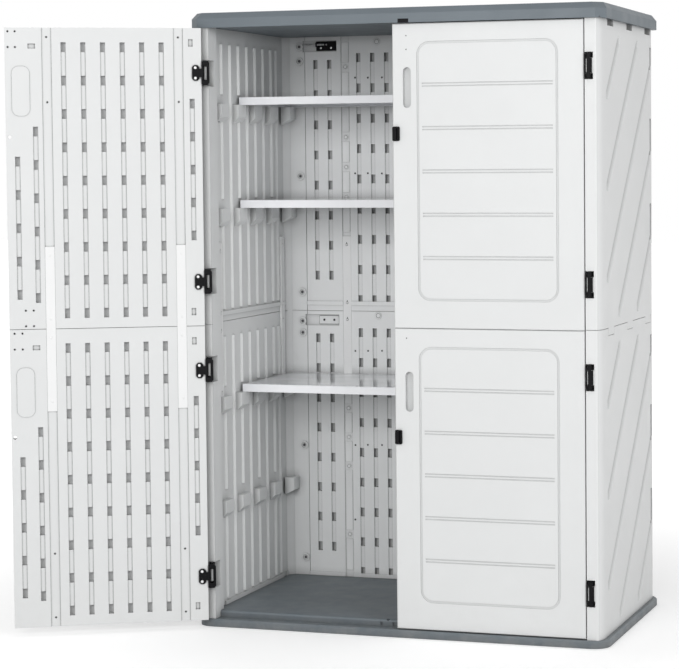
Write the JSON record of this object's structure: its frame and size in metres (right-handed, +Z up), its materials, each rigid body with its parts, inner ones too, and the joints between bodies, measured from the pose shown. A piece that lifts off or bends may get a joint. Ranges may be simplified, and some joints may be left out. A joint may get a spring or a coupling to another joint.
{
  "type": "garden storage cabinet",
  "caption": "Tall two-door plastic garden storage cabinet with lift-out shelves, turn latches and bolts, slate base tray and roof.",
  "frame": {"origin": "centre of the base tray's underside", "axes": "+Z up, -Y towards the doors, +X to the right seen from the front"},
  "size_m": [1.7097, 0.9847, 1.82],
  "materials": {
    "white_plastic": "fine moulded texture",
    "slate_plastic": "fine moulded texture",
    "black_plastic": "satin",
    "black_steel": "satin black coat",
    "white_steel": "smooth white coat",
    "shelf_steel": "glossy white coat",
    "bright_steel": "zinc plated"
  },
  "bodies": {
    "cabinet": {"base_tray": "slate_plastic", "roof": "slate_plastic", "roof_keeper": "black_plastic", "side_panel_right_lower": "white_plastic", "side_panel_left_lower": "white_plastic", "side_panel_right_upper": "white_plastic", "side_panel_left_upper": "white_plastic", "back_panel_lower": "white_plastic", "back_panel_upper": "white_plastic", "right_wall_straps": "white_steel", "left_wall_straps": "white_steel", "back_straps": "white_steel", "right_corner_fastener": "black_steel", "left_corner_fastener": "black_steel", "right_fastener_pin": "bright_steel", "left_fastener_pin": "bright_steel", "right_hinge_caps": "black_plastic", "left_hinge_caps": "black_plastic"},
    "right_door": {"right_door_lower": "white_plastic", "right_door_upper": "white_plastic", "right_door_straps": "white_steel", "right_hinge_brackets": "black_steel", "right_hinge_pins": "bright_steel", "top_bolt_housing": "black_plastic", "bottom_bolt_housing": "black_plastic"},
    "left_door": {"left_door_lower": "white_plastic", "left_door_upper": "white_plastic", "left_door_straps": "white_steel", "left_hinge_brackets": "black_steel", "left_hinge_pins": "bright_steel"},
    "upper_latch": {"upper_latch": "black_plastic", "upper_latch_retainer": "black_plastic"},
    "lower_latch": {"lower_latch": "black_plastic", "lower_latch_retainer": "black_plastic"},
    "top_bolt": {"top_bolt": "bright_steel"},
    "bottom_bolt": {"bottom_bolt": "bright_steel"},
    "shelf_upper": {"shelf_upper": "shelf_steel"},
    "shelf_middle": {"shelf_middle": "shelf_steel"},
    "shelf_lower": {"shelf_lower": "shelf_steel"}
  },
  "joints": [
    {"name": "left_door_hinge", "type": "hinge", "parent": "cabinet", "child": "left_door", "pos_m": [-0.577, -0.338, 0.9], "axis": [0, 0, -1], "range_deg": [-152, 3]},
    {"name": "right_door_hinge", "type": "hinge", "parent": "cabinet", "child": "right_door", "pos_m": [0.577, -0.338, 0.9], "axis": [0, 0, 1], "range_deg": [0, 155]},
    {"name": "upper_latch_turn", "type": "hinge", "parent": "right_door", "child": "upper_latch", "pos_m": [0.0125, -0.345, 1.449], "axis": [0, 1, 0], "range_deg": [0, 90]},
    {"name": "lower_latch_turn", "type": "hinge", "parent": "right_door", "child": "lower_latch", "pos_m": [0.0125, -0.345, 0.58], "axis": [0, 1, 0], "range_deg": [0, 90]},
    {"name": "top_bolt_slide", "type": "slide", "parent": "right_door", "child": "top_bolt", "axis": [0, 0, 1], "range_m": [0, 0.02]},
    {"name": "bottom_bolt_slide", "type": "slide", "parent": "right_door", "child": "bottom_bolt", "axis": [0, 0, -1], "range_m": [0, 0.02]},
    {"name": "shelf_upper_lift", "type": "slide", "parent": "cabinet", "child": "shelf_upper", "axis": [0, 0, 1], "range_m": [0, 0.04]},
    {"name": "shelf_middle_lift", "type": "slide", "parent": "cabinet", "child": "shelf_middle", "axis": [0, 0, 1], "range_m": [0, 0.04]},
    {"name": "shelf_lower_lift", "type": "slide", "parent": "cabinet", "child": "shelf_lower", "axis": [0, 0, 1], "range_m": [0, 0.04]}
  ]
}
